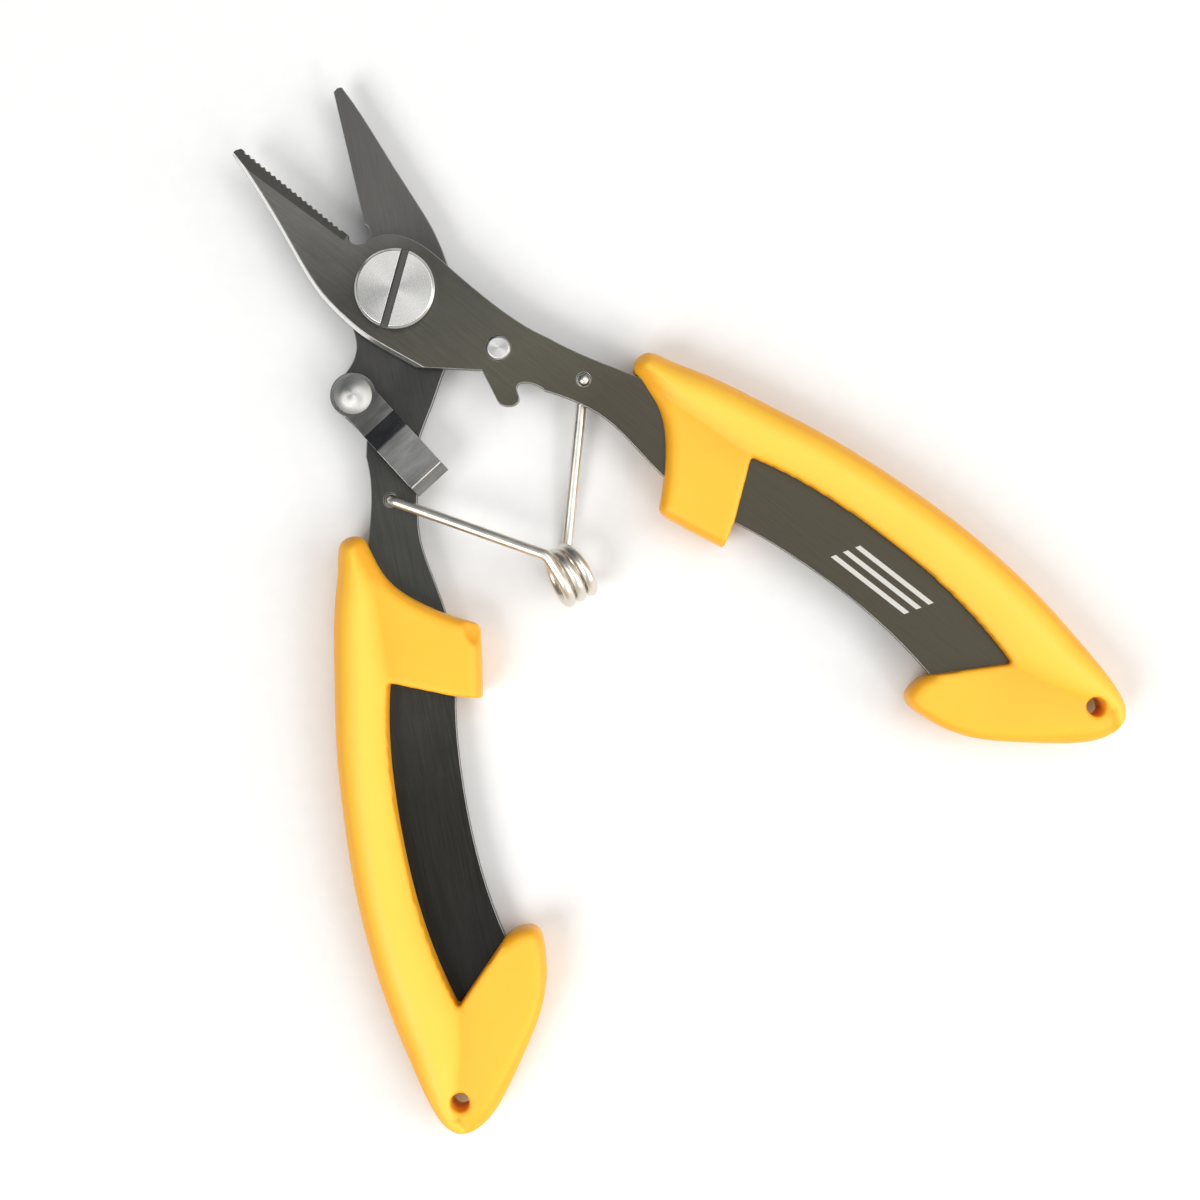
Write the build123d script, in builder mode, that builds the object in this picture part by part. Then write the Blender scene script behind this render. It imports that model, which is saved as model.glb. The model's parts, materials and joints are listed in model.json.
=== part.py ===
from build123d import *
from math import cos, radians, sin, tan
import os

os.makedirs("parts", exist_ok=True)

# Fishing line pliers with crossed shear blades, a return spring and a swinging latch.
# The origin is on the pivot axis, at the nut's back face. +Z points to the screw head's side,
# +Y points to the jaws. Each half is drawn in its own frame, in which the closed handles lie
# along -Y with the half's handle at +X, and is then turned outwards by rest_angle.
# The front half's handle goes to +X; the rear half is drawn mirrored, so its handle goes to -X.

# Overall sizes
jaw_length = 28.6  # pivot axis to jaw tip
arm_length = 32.5  # pivot axis to the front end of a grip
grip_length = 80.4  # front end to rear end of a grip
rest_angle = 20.2  # turn of each half from the closed line, at rest
closing_angle = 30.5  # turn of the front half from rest to closed

# Blades
blade_thickness = 1.8
blade_gap = 0.05  # between the two blades' sliding faces
edge_bevel_width = 0.8  # ground bevel on the outer edge of the front jaw
edge_bevel_depth = 0.5
face_bevel_root = 0.95  # ground band beside the serrated edge: its width at the root and at the tip
face_bevel_tip = 1.85
face_bevel_angle = 21.0
tip_radius = 0.3
serration_pitch = 0.9
serration_radius = 0.45
serration_offset = 0.2  # their centres' distance outside the jaw's edge
serrated_share = 0.6  # of the jaw's length

# Pivot
shank_radius = 2.6
running_clearance = 0.03
thread_interference = 0.02
head_radius = 5.4
head_height = 1.9
head_rim = 0.35
slot_width = 1.0
slot_depth = 0.9
slot_angle = 42.6  # direction of the slot from +X
nut_height = 2.4
nut_across_flats = 9.0
washer_radius = 6.0
washer_thickness = 0.3

# Stop pin in the front blade
pin_place = (2.3, -15.65)
pin_radius = 1.7
pin_height = 0.6
pin_rim = 0.3
shoulder_length = 1.6
stop_clearance = 0.04  # left between the shoulder and the rear arm's inner edge when closed

# Grips
grip_thickness = 9.05
lanyard_radius = 1.2
lanyard_place = (13.5, 0.942)  # across the handle, and its share of the grip's length
relief_radius = 3.5  # hollow in the collar's inner corner, which the spring's leg swings into
relief_place = (-2.9, 0.175)
relief_lift = 0.4  # centre of the hollow beyond the grip's face

# Latch on the ear of the rear blade
latch_place = (8.53, -12.58)
latch_angle = -79.4  # direction of the lever from +X, at rest
ear_radius = 3.1
lever_width = 5.4
lever_thickness = 0.8
lever_step_start = 5.3  # distance from the rivet where the lever rises
lever_step_end = 7.9
lever_reach = 14.55  # distance from the rivet to the bend of the lip
lip_lean = 1.15
lip_clearance = 0.35  # between the lip's end and the rear blade's face
lever_clearance = 0.12  # between the raised lever and the front blade's face
latch_washer_radius = 2.6
latch_washer_thickness = 0.3
rivet_head_radius = 2.6
rivet_head_height = 1.0
rivet_shank_radius = 1.5
rivet_tail_radius = 2.2
rivet_tail_height = 0.8

# Return spring
wire_diameter = 1.5
hole_clearance = 0.22  # around the wire in the blades' holes
front_hole = (6.03, -27.3)
rear_hole = (6.50, -27.35)
coil_radius = 3.35  # to the wire's centre line
coil_turns = 2.5
coil_gap = 0.2  # between neighbouring turns
coil_lead = 3.5  # straight wire from the last turn to the kink
coil_centre = (-0.4, -44.6)
coil_heading = -4.0  # direction of the coil's axis from +X
coil_dip = 15.0  # the axis falls by this angle towards +X
coil_lift = 0.2  # centre of the coil above the middle of the blades
hook_reach = 0.4  # wire that stands out behind the rear blade
hook_bend_radius = 1.1
leg_lift = 0.06  # between a leg and the blade it lies on
kink_gap = 0.1  # between a leg's end and the coil's kink

# Heights
rear_back = nut_height + washer_thickness
rear_face = rear_back + blade_thickness
front_back = rear_face + blade_gap
front_face = front_back + blade_thickness
middle = (rear_face + front_back) / 2
grip_back = middle - grip_thickness / 2

front_plane = Plane.XY.rotated((0, 0, rest_angle))
rear_plane = Plane.XY.rotated((0, 0, -rest_angle))

FRONT = 1
REAR = -1


def curve(side, *points):
    """A smooth curve through points of a half's own frame."""
    return Spline(*[(side * x, y) for x, y in points])


def run(side, *points):
    """Straight lines through points of a half's own frame."""
    return Polyline(*[(side * x, y) for x, y in points])


def jaw(x, share):
    """A point of the jaw, share being 0 at the pivot and 1 at the tip."""
    return (x, share * jaw_length)


def grip(x, share):
    """A point of the handle, share being 0 at the grip's front end and 1 at its rear end."""
    return (x, -arm_length - share * grip_length)


def mirrored(place):
    """A point of the rear half's frame, from the side where its handle would be at +X."""
    return (REAR * place[0], place[1])


def tang_edges(side, inner_start, outer_end):
    """The steel from the arm's inner edge, round inside the grip, to the arm's outer edge."""
    curve(
        side, inner_start, (3.2, -29), (3.7, -33), grip(3.1, 0.075), grip(2.2, 0.16), grip(2.3, 0.22),
        grip(3.3, 0.28), grip(4.7, 0.417), grip(4.9, 0.5), grip(4.5, 0.6), grip(3.3, 0.693),
    )
    run(side, grip(3.3, 0.693), grip(5.0, 0.76), grip(8.5, 0.83), grip(12.0, 0.83))
    curve(
        side, grip(12.0, 0.83), grip(14.9, 0.72), grip(16.4, 0.566), grip(16.4, 0.44), grip(15.7, 0.33),
        grip(14.2, 0.2), grip(12.4, 0.08), grip(10.7, 0), (9.5, -28.5), outer_end,
    )


def blade_hole(plane, place, radius):
    """Cut a round hole through the piece that is being built, at a point of a half's frame."""
    with Locations(plane):
        with Locations(place):
            Hole(radius)


# Front blade: serrated jaw on the left, arm, latch tooth and tang on the right
edge_root = jaw(1.9, 0.336)
edge_tip = jaw(2.3, 0.985)
with BuildPart() as front_blade:
    with BuildSketch(front_plane.offset(front_back)):
        with BuildLine():
            curve(
                FRONT, jaw(0.9, 1), jaw(-0.3, 0.87), jaw(-2.5, 0.66), jaw(-5, 0.45), jaw(-6.8, 0.27),
                jaw(-7.5, 0.1), (-7.6, 0), (-7.2, -4), (-6.5, -8.5),
            )
            run(FRONT, (-6.5, -8.5), (-1.4, -15.7), (-3.3, -19.8))
            curve(FRONT, (-3.3, -19.8), (-3.1, -21.4), (-1.8, -22.2), (-1, -21.7))
            curve(FRONT, (-1, -21.7), (0.3, -20.8), (1.2, -21.8), (1.6, -24))
            tang_edges(FRONT, (1.6, -24), (7.5, -20))
            curve(FRONT, (7.5, -20), (6.6, -12), (6.9, -3), (6.9, 1.5), (5.2, 5.6), (3, 7.1))
            curve(FRONT, (3, 7.1), (1.7, 7.7), (1.35, 8.7), edge_root)
            run(FRONT, edge_root, edge_tip, jaw(1.6, 1), jaw(0.9, 1))
        make_face()
    extrude(amount=blade_thickness)
    outer_side = front_plane.from_local_coords(Vector(*jaw(-5, 0.45), front_face))
    front_side = front_blade.faces().sort_by(Axis.Z)[-1]
    outer_edge = front_side.edges().sort_by_distance(outer_side)[0]
    chamfer(outer_edge, edge_bevel_depth, edge_bevel_width, reference=front_side)
    root_x, root_y = edge_root
    tip_x, tip_y = edge_tip
    edge_slope = (tip_x - root_x) / (tip_y - root_y)
    band_root = front_plane.from_local_coords(Vector(root_x - face_bevel_root, root_y, front_face))
    band_tip = front_plane.from_local_coords(Vector(tip_x - face_bevel_tip, tip_y, front_face))
    band_direction = (band_tip - band_root).normalized()
    band_reach = 2 * face_bevel_tip  # past the edge
    band_depth = band_reach * tan(radians(face_bevel_angle))  # the sketch's +Y points down into the blade
    band_side = band_direction.cross(Vector(0, 0, 1))
    with BuildSketch(Plane(origin=band_root, x_dir=band_side, z_dir=band_direction)):
        with BuildLine():
            Polyline((0, 0), (band_reach, 0), (band_reach, band_depth), (0, 0))
        make_face()
    extrude(amount=jaw_length, mode=Mode.SUBTRACT)
    fillet(front_blade.edges().filter_by(Axis.Z).sort_by(Axis.Y)[-2:], tip_radius)
    serrations = int(serrated_share * jaw_length / serration_pitch)
    from_tip = [serration_pitch * (k + 1) for k in range(serrations)]
    with BuildSketch(front_plane.offset(front_back)):
        with Locations(*[(tip_x + serration_offset - edge_slope * d, tip_y - d) for d in from_tip]):
            Circle(serration_radius)
    extrude(amount=blade_thickness, mode=Mode.SUBTRACT)
    blade_hole(front_plane, (0, 0), shank_radius + running_clearance)
    blade_hole(front_plane, pin_place, pin_radius)
    blade_hole(front_plane, front_hole, wire_diameter / 2 + hole_clearance)
front_blade.part.label = "front_blade"
export_step(front_blade.part, "parts/front_blade.step")

# Rear blade: plain jaw on the right, latch ear, arm and tang on the left
ear_x, ear_y = latch_place
with BuildPart() as rear_blade:
    with BuildSketch(rear_plane.offset(rear_back)):
        with BuildLine():
            curve(
                REAR, jaw(1.7, 1), jaw(-0.3, 0.84), jaw(-2.4, 0.64), jaw(-4.8, 0.42), jaw(-6.6, 0.24),
                jaw(-7.4, 0.09), (-7.6, 0), (-7.2, -4), (-6.4, -8),
            )
            run(REAR, (-6.4, -8), (-3.9, -11.9), (-2.4, -14.4))
            curve(REAR, (-2.4, -14.4), (-0.5, -17.4), (1.6, -21), (2.6, -25))
            tang_edges(REAR, (2.6, -25), (8.6, -21))
            run(REAR, (8.6, -21), (8.0, -18.6), (ear_x + 0.66 * ear_radius, ear_y - 0.75 * ear_radius))
            ThreePointArc(
                (REAR * (ear_x + 0.66 * ear_radius), ear_y - 0.75 * ear_radius),
                (REAR * (ear_x + ear_radius), ear_y),
                (REAR * (ear_x + 0.5 * ear_radius), ear_y + 0.866 * ear_radius),
            )
            curve(
                REAR, (ear_x + 0.5 * ear_radius, ear_y + 0.866 * ear_radius), (7.7, -8.0), (6.9, -6.4),
                (6.9, -3), (6.9, 1.5), (5.2, 5.6), (3.2, 7.1),
            )
            curve(REAR, (3.2, 7.1), (2.2, 7.6), (1.9, 8.6), jaw(2.4, 0.345))
            run(REAR, jaw(2.4, 0.345), jaw(2.9, 0.985), jaw(2.3, 1), jaw(1.7, 1))
        make_face()
    extrude(amount=blade_thickness)
    fillet(rear_blade.edges().filter_by(Axis.Z).sort_by(Axis.Y)[-3:], tip_radius)
    blade_hole(rear_plane, (0, 0), shank_radius + running_clearance)
    blade_hole(rear_plane, mirrored(latch_place), rivet_shank_radius)
    blade_hole(rear_plane, mirrored(rear_hole), wire_diameter / 2 + hole_clearance)
rear_blade.part.label = "rear_blade"
export_step(rear_blade.part, "parts/rear_blade.step")


# Grips: one outline for both halves, moulded over the tang
def grip_outline(side):
    """The grip's outline, with its window open towards the other handle."""
    curve(
        side, grip(10.8, 0), grip(11.6, -0.014), grip(12.7, -0.017), grip(14.0, -0.012), grip(15.1, 0.02),
        grip(16.6, 0.085), grip(18.5, 0.193), grip(20.3, 0.317), grip(21.4, 0.45), grip(21.8, 0.57),
        grip(21.4, 0.69), grip(20.4, 0.79), grip(18.8, 0.885), grip(17.3, 0.95), grip(15.8, 0.985),
        grip(14.0, 0.998), grip(12.0, 0.995), grip(9.8, 0.978), grip(6.5, 0.932), grip(3.0, 0.872),
        grip(0.2, 0.815), grip(-1.2, 0.765), grip(-1.6, 0.725), grip(-1.2, 0.69), grip(-0.1, 0.682),
    )
    curve(side, grip(-0.1, 0.682), grip(1.5, 0.683), grip(3.3, 0.693))
    run(side, grip(3.3, 0.693), grip(11.2, 0.788))
    curve(
        side, grip(11.2, 0.788), grip(12.8, 0.705), grip(13.9, 0.6), grip(14.1, 0.48), grip(13.6, 0.375),
        grip(12.5, 0.285), grip(11.5, 0.236),
    )
    run(side, grip(11.5, 0.236), grip(3.3, 0.28), grip(-0.2, 0.292))
    curve(side, grip(-0.2, 0.292), grip(-1.0, 0.24), grip(-1.8, 0.178))
    run(side, grip(-1.8, 0.178), grip(-1.5, 0.168), grip(0, 0.158))
    curve(
        side, grip(0, 0.158), grip(2, 0.144), grip(5, 0.118), grip(7.5, 0.091), grip(9.3, 0.06),
        grip(10.3, 0.025), grip(10.8, 0),
    )


with BuildPart() as front_grip:
    with BuildSketch(front_plane.offset(grip_back)):
        with BuildLine():
            grip_outline(FRONT)
        make_face()
    extrude(amount=grip_thickness)
    blade_hole(front_plane, grip(*lanyard_place), lanyard_radius)
    with Locations(front_plane):
        with Locations((*grip(*relief_place), grip_back - relief_lift)):
            Sphere(relief_radius, mode=Mode.SUBTRACT)
    add(front_blade.part, mode=Mode.SUBTRACT)
front_grip.part.label = "front_grip"
export_step(front_grip.part, "parts/front_grip.step")

with BuildPart() as rear_grip:
    with BuildSketch(rear_plane.offset(grip_back)):
        with BuildLine():
            grip_outline(REAR)
        make_face()
    extrude(amount=grip_thickness)
    blade_hole(rear_plane, mirrored(grip(*lanyard_place)), lanyard_radius)
    with Locations(rear_plane):
        with Locations((*mirrored(grip(*relief_place)), grip_back + grip_thickness + relief_lift)):
            Sphere(relief_radius, mode=Mode.SUBTRACT)
    add(rear_blade.part, mode=Mode.SUBTRACT)
rear_grip.part.label = "rear_grip"
export_step(rear_grip.part, "parts/rear_grip.step")


# Pivot: slotted screw from the front, washer and nut behind
head_back = front_face + running_clearance
head_face = head_back + head_height
with BuildPart() as pivot_screw:
    with BuildSketch(Plane.XY.offset(head_back)):
        Circle(head_radius)
    extrude(amount=head_height)
    chamfer(pivot_screw.edges().sort_by(Axis.Z)[-1], head_rim)
    with BuildSketch(Plane.XY.offset(head_face).rotated((0, 0, slot_angle))):
        Rectangle(2 * head_radius, slot_width)
    extrude(amount=-slot_depth, mode=Mode.SUBTRACT)
    with BuildSketch(Plane.XY):
        Circle(shank_radius)
    extrude(amount=head_back)
pivot_screw.part.label = "pivot_screw"
export_step(pivot_screw.part, "parts/pivot_screw.step")

with BuildPart() as pivot_nut:
    with BuildSketch(Plane.XY):
        RegularPolygon(nut_across_flats / 2, 6, major_radius=False)
        Circle(shank_radius - thread_interference, mode=Mode.SUBTRACT)
    extrude(amount=nut_height)
pivot_nut.part.label = "pivot_nut"
export_step(pivot_nut.part, "parts/pivot_nut.step")

with BuildPart() as pivot_washer:
    with BuildSketch(Plane.XY.offset(nut_height)):
        Circle(washer_radius)
        Circle(shank_radius + running_clearance, mode=Mode.SUBTRACT)
    extrude(amount=washer_thickness)
pivot_washer.part.label = "pivot_washer"
export_step(pivot_washer.part, "parts/pivot_washer.step")

# Stop pin: pressed through the front blade, with a shoulder behind it that meets the rear arm
closed_plane = Plane.XY.offset(rear_back + blade_thickness / 2).rotated((0, 0, rest_angle - closing_angle))
closed_pin = Vertex(closed_plane.from_local_coords(Vector(*pin_place)))
shoulder_radius = closed_pin.distance_to(rear_blade.part) - stop_clearance
with BuildPart() as stop_pin:
    with BuildSketch(front_plane.offset(front_back)):
        with Locations(pin_place):
            Circle(pin_radius)
    extrude(amount=blade_thickness + pin_height)
    chamfer(stop_pin.edges().sort_by(Axis.Z)[-1], pin_rim)
    with BuildSketch(front_plane.offset(front_back)):
        with Locations(pin_place):
            Circle(shoulder_radius)
    extrude(amount=-shoulder_length)
stop_pin.part.label = "stop_pin"
export_step(stop_pin.part, "parts/stop_pin.step")

# Latch: a stepped lever on a rivet, which swings over the tooth of the front blade
latch_pivot = rear_plane.from_local_coords(Vector(*mirrored(latch_place)))
lever_back = rear_face + latch_washer_thickness + running_clearance
raised_back = front_face + lever_clearance
lever_direction = Vector(cos(radians(latch_angle)), sin(radians(latch_angle)))
lever_side = Plane(origin=latch_pivot, x_dir=lever_direction, z_dir=lever_direction.cross(Vector(0, 0, 1)))
with BuildPart() as latch_lever:
    with BuildSketch(lever_side):
        with BuildLine():
            FilletPolyline(
                (-ear_radius, lever_back + lever_thickness / 2),
                (lever_step_start, lever_back + lever_thickness / 2),
                (lever_step_end, raised_back + lever_thickness / 2),
                (lever_reach, raised_back + lever_thickness / 2),
                (lever_reach + lip_lean, rear_face + lip_clearance),
                radius=lever_thickness * 0.7,
            )
        trace(line_width=lever_thickness)
    extrude(amount=ear_radius, both=True)
    with BuildSketch(Plane(origin=latch_pivot, x_dir=lever_direction, z_dir=(0, 0, 1))):
        Circle(ear_radius)
        with Locations((lever_reach / 2 + ear_radius, 0)):
            Rectangle(lever_reach + 2 * ear_radius, lever_width)
    extrude(amount=grip_thickness, mode=Mode.INTERSECT)
    blade_hole(Plane(latch_pivot), (0, 0), rivet_shank_radius + running_clearance)
latch_lever.part.label = "latch_lever"
export_step(latch_lever.part, "parts/latch_lever.step")

with BuildPart() as latch_washer:
    with BuildSketch(Plane(latch_pivot).offset(rear_face)):
        Circle(latch_washer_radius)
        Circle(rivet_shank_radius + running_clearance, mode=Mode.SUBTRACT)
    extrude(amount=latch_washer_thickness)
latch_washer.part.label = "latch_washer"
export_step(latch_washer.part, "parts/latch_washer.step")

rivet_head_back = lever_back + lever_thickness + running_clearance
rivet_crown = rivet_head_back + rivet_head_height
dome_radius = (rivet_head_radius**2 + rivet_head_height**2) / (2 * rivet_head_height)
with BuildPart() as latch_rivet:
    with BuildSketch(Plane(origin=latch_pivot, x_dir=(1, 0, 0), z_dir=(0, -1, 0))):
        with BuildLine():
            Polyline(
                (0, rivet_crown),
                (0, rear_back - rivet_tail_height),
                (rivet_tail_radius, rear_back - rivet_tail_height),
                (rivet_tail_radius, rear_back),
                (rivet_shank_radius, rear_back),
                (rivet_shank_radius, rivet_head_back),
                (rivet_head_radius, rivet_head_back),
            )
            RadiusArc((rivet_head_radius, rivet_head_back), (0, rivet_crown), -dome_radius)
        make_face()
    revolve(axis=Axis(latch_pivot, (0, 0, 1)))
latch_rivet.part.label = "latch_rivet"
export_step(latch_rivet.part, "parts/latch_rivet.step")

# Return spring: a coil between two straight legs that hook into the blades
dip = radians(coil_dip)
heading = radians(coil_heading)
coil_pitch = wire_diameter + coil_gap
coil_axis = Vector(cos(dip) * cos(heading), cos(dip) * sin(heading), -sin(dip))
coil_top = Vector(sin(dip) * cos(heading), sin(dip) * sin(heading), cos(dip))
coil_middle = Vector(*coil_centre, middle + coil_lift)
coil_start = coil_middle - coil_axis * (coil_turns * coil_pitch / 2)
coil_plane = Plane(origin=coil_start, x_dir=coil_top, z_dir=coil_axis)
with BuildLine() as coil_path:
    turns = Helix(coil_pitch, coil_turns * coil_pitch, coil_radius)
    Line(turns @ 0 - (turns % 0) * coil_lead, turns @ 0)
    Line(turns @ 1, turns @ 1 + (turns % 1) * coil_lead)
coil_wire = coil_plane.location * coil_path.wires()[0]
rear_kink = coil_plane.from_local_coords(turns @ 0 - (turns % 0) * coil_lead)
front_kink = coil_plane.from_local_coords(turns @ 1 + (turns % 1) * coil_lead)

with BuildPart() as spring_coil:
    with BuildSketch(Plane(origin=rear_kink, z_dir=coil_wire % 0)):
        Circle(wire_diameter / 2)
    sweep(path=coil_wire)
    with Locations(Plane(rear_kink, z_dir=coil_wire % 0), Plane(front_kink, z_dir=coil_wire % 1)):
        Sphere(wire_diameter / 2)
spring_coil.part.label = "spring_coil"
export_step(spring_coil.part, "parts/spring_coil.step")


def spring_leg(hole, leg_height, hook_height, kink):
    """The path of a leg, from its hook in a blade's hole to just short of the coil's kink."""
    corner = Vector(hole.X, hole.Y, leg_height)
    end = kink + (corner - kink).normalized() * (wire_diameter / 2 + kink_gap)
    return Vector(hole.X, hole.Y, hook_height), corner, end


rear_anchor = rear_plane.from_local_coords(Vector(*mirrored(rear_hole)))
front_anchor = front_plane.from_local_coords(Vector(*front_hole))

rear_leg_height = rear_face + leg_lift + wire_diameter / 2
rear_hook_height = rear_back - hook_reach
with BuildPart() as spring_rear_leg:
    with BuildLine() as rear_leg_path:
        FilletPolyline(
            *spring_leg(rear_anchor, rear_leg_height, rear_hook_height, rear_kink),
            radius=hook_bend_radius,
        )
    with BuildSketch(Plane(origin=rear_leg_path.line @ 0, z_dir=rear_leg_path.line % 0)):
        Circle(wire_diameter / 2)
    sweep()
spring_rear_leg.part.label = "spring_rear_leg"
export_step(spring_rear_leg.part, "parts/spring_rear_leg.step")

front_leg_height = front_back - leg_lift - wire_diameter / 2
front_hook_height = front_face - leg_lift
with BuildPart() as spring_front_leg:
    with BuildLine() as front_leg_path:
        FilletPolyline(
            *spring_leg(front_anchor, front_leg_height, front_hook_height, front_kink),
            radius=hook_bend_radius,
        )
    with BuildSketch(Plane(origin=front_leg_path.line @ 0, z_dir=front_leg_path.line % 0)):
        Circle(wire_diameter / 2)
    sweep()
spring_front_leg.part.label = "spring_front_leg"
export_step(spring_front_leg.part, "parts/spring_front_leg.step")
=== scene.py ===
import json
from math import cos, pi, radians, sin, tan

import bmesh
import bpy
import numpy as np
from mathutils import Matrix, Vector


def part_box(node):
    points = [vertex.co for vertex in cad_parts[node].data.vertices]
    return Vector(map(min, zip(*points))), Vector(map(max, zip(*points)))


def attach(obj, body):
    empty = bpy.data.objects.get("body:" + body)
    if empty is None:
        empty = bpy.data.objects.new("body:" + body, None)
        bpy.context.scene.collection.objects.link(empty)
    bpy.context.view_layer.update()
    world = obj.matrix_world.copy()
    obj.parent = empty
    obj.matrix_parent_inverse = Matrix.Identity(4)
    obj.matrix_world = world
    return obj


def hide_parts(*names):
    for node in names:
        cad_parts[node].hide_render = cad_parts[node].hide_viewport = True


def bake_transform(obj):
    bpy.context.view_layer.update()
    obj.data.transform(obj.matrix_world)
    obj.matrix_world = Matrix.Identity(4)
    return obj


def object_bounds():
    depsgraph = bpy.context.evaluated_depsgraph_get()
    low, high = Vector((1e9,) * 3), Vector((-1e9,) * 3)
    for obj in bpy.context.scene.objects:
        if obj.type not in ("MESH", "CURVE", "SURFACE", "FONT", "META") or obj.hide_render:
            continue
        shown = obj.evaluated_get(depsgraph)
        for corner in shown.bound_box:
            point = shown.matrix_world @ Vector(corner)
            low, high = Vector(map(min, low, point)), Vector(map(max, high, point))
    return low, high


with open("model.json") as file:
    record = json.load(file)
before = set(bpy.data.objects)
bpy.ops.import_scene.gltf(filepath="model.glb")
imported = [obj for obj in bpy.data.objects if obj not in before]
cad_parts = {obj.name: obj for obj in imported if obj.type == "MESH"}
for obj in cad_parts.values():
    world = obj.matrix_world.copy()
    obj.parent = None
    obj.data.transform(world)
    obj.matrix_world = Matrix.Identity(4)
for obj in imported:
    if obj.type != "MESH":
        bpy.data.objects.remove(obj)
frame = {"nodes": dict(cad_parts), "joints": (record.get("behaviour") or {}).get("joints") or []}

cad_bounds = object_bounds()

# Fishing line pliers: soft moulded grips, coated blades, bright fittings and a wire return spring.
# Sizes and places are in millimetres unless a comment says otherwise, and become metres by MM.
# A half's own frame has the closed handles along -Y and the half's own handle at +X.
MM = 0.001
FRONT = 1
REAR = -1
REST_ANGLE = radians(20.2)  # turn of each half from the closed line, at rest
JOINTS = {joint["name"]: joint for joint in frame["joints"]}
GRIP_MIDDLE = 4.525  # height of the grips' middle plane
CREST = 4.5  # half thickness of the grips at the crest of their outer band


# ---------------------------------------------------------------- frames of the two halves
def to_half(points, side):
    """Points of the shared frame, given in a half's own frame."""
    turn = side * REST_ANGLE
    x = points[:, 0] * cos(turn) + points[:, 1] * sin(turn)
    y = points[:, 1] * cos(turn) - points[:, 0] * sin(turn)
    return np.column_stack((side * x, y, points[:, 2:]))


def from_half(points, side):
    """Points of a half's own frame, given in the shared frame."""
    turn = side * REST_ANGLE
    x = side * points[:, 0]
    y = points[:, 1]
    across = x * cos(turn) - y * sin(turn)
    along = x * sin(turn) + y * cos(turn)
    return np.column_stack((across, along, points[:, 2:]))


# ---------------------------------------------------------------- mesh helpers
WELD_DISTANCE = 0.002
FLAT_ANGLE = radians(0.08)  # faces that meet at less than this are one flat face
SHARP = radians(28)  # edges that turn by more than this are softened
WIDE_FACE = 1.5e-6  # square metres: a face this large is flat, unless it is a side wall
WALL_LEAN = 0.05  # upward share of a side wall's normal, at most
BEVEL_SEGMENTS = 3


def new_object(name, data):
    item = bpy.data.objects.new(name, data)
    bpy.context.scene.collection.objects.link(item)
    return item


def mesh_from(name, vertices, faces):
    """A smoothly shaded mesh object."""
    mesh = bpy.data.meshes.new(name)
    mesh.from_pydata(vertices, [], faces)
    mesh.update()
    mesh.polygons.foreach_set("use_smooth", [True] * len(mesh.polygons))
    return new_object(name, mesh)


def welded(node):
    """A bmesh of a CAD node with its split vertices joined and its flat faces merged."""
    work = bmesh.new()
    work.from_mesh(frame["nodes"][node].data)
    bmesh.ops.remove_doubles(work, verts=work.verts, dist=WELD_DISTANCE * MM)
    bmesh.ops.dissolve_limit(work, angle_limit=FLAT_ANGLE, verts=work.verts, edges=work.edges)
    return work


def mark_edges(work, keep_crisp):
    """Weight the sharp edges for the bevel, but not those that keep_crisp picks. Wide faces stay flat."""
    weight = work.edges.layers.float.new("bevel_weight_edge")
    for face in work.faces:
        face.smooth = face.calc_area() < WIDE_FACE or abs(face.normal.z) < WALL_LEAN
    for edge in work.edges:
        if len(edge.link_faces) == 2 and edge.calc_face_angle() > SHARP:
            edge.smooth = False
            middle = (edge.verts[0].co + edge.verts[1].co) / 2 / MM
            edge[weight] = 0.0 if keep_crisp and keep_crisp(middle) else 1.0


def finish_piece(work, name, node, body, materials, bevel, keep_crisp=None, edge_material=-1):
    """Turn a bmesh into a piece with softened edges that stands for a CAD node."""
    mark_edges(work, keep_crisp)
    mesh = bpy.data.meshes.new(name)
    work.to_mesh(mesh)
    work.free()
    piece = new_object(name, mesh)
    for material in materials:
        mesh.materials.append(material)
    edge = piece.modifiers.new("edge", "BEVEL")
    edge.width = bevel * MM
    edge.segments = BEVEL_SEGMENTS
    edge.material = edge_material
    edge.limit_method = "WEIGHT"
    edge.harden_normals = True
    edge.use_clamp_overlap = False
    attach(piece, body)
    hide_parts(node)


# ---------------------------------------------------------------- material helpers
NOISE_SPAN = (0.3, 0.7)  # where most of a noise's values lie


def new_material(name, metallic):
    material = bpy.data.materials.new(name)
    material.use_nodes = True
    shader = material.node_tree.nodes["Principled BSDF"]
    shader.inputs["Metallic"].default_value = metallic
    return material, material.node_tree, shader


def coordinates(tree, scale=(1, 1, 1), turn=0.0):
    """Object coordinates turned about Z and scaled: one unit is 1 / scale millimetres."""
    source = tree.nodes.new("ShaderNodeTexCoord")
    mapping = tree.nodes.new("ShaderNodeMapping")
    mapping.vector_type = "TEXTURE"
    mapping.inputs["Rotation"].default_value = (0, 0, turn)
    mapping.inputs["Scale"].default_value = [MM / share for share in scale]
    tree.links.new(source.outputs["Object"], mapping.inputs["Vector"])
    return mapping.outputs["Vector"]


def noise(tree, vector, scale=1.0, detail=4.0, roughness=0.5):
    node = tree.nodes.new("ShaderNodeTexNoise")
    node.inputs["Scale"].default_value = scale
    node.inputs["Detail"].default_value = detail
    node.inputs["Roughness"].default_value = roughness
    tree.links.new(vector, node.inputs["Vector"])
    return node.outputs["Fac"]


def spread(tree, value, low, high, out_low=0.0, out_high=1.0):
    """Map low..high of a value to out_low..out_high."""
    node = tree.nodes.new("ShaderNodeMapRange")
    node.inputs["From Min"].default_value = low
    node.inputs["From Max"].default_value = high
    node.inputs["To Min"].default_value = out_low
    node.inputs["To Max"].default_value = out_high
    tree.links.new(value, node.inputs["Value"])
    return node.outputs["Result"]


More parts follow.
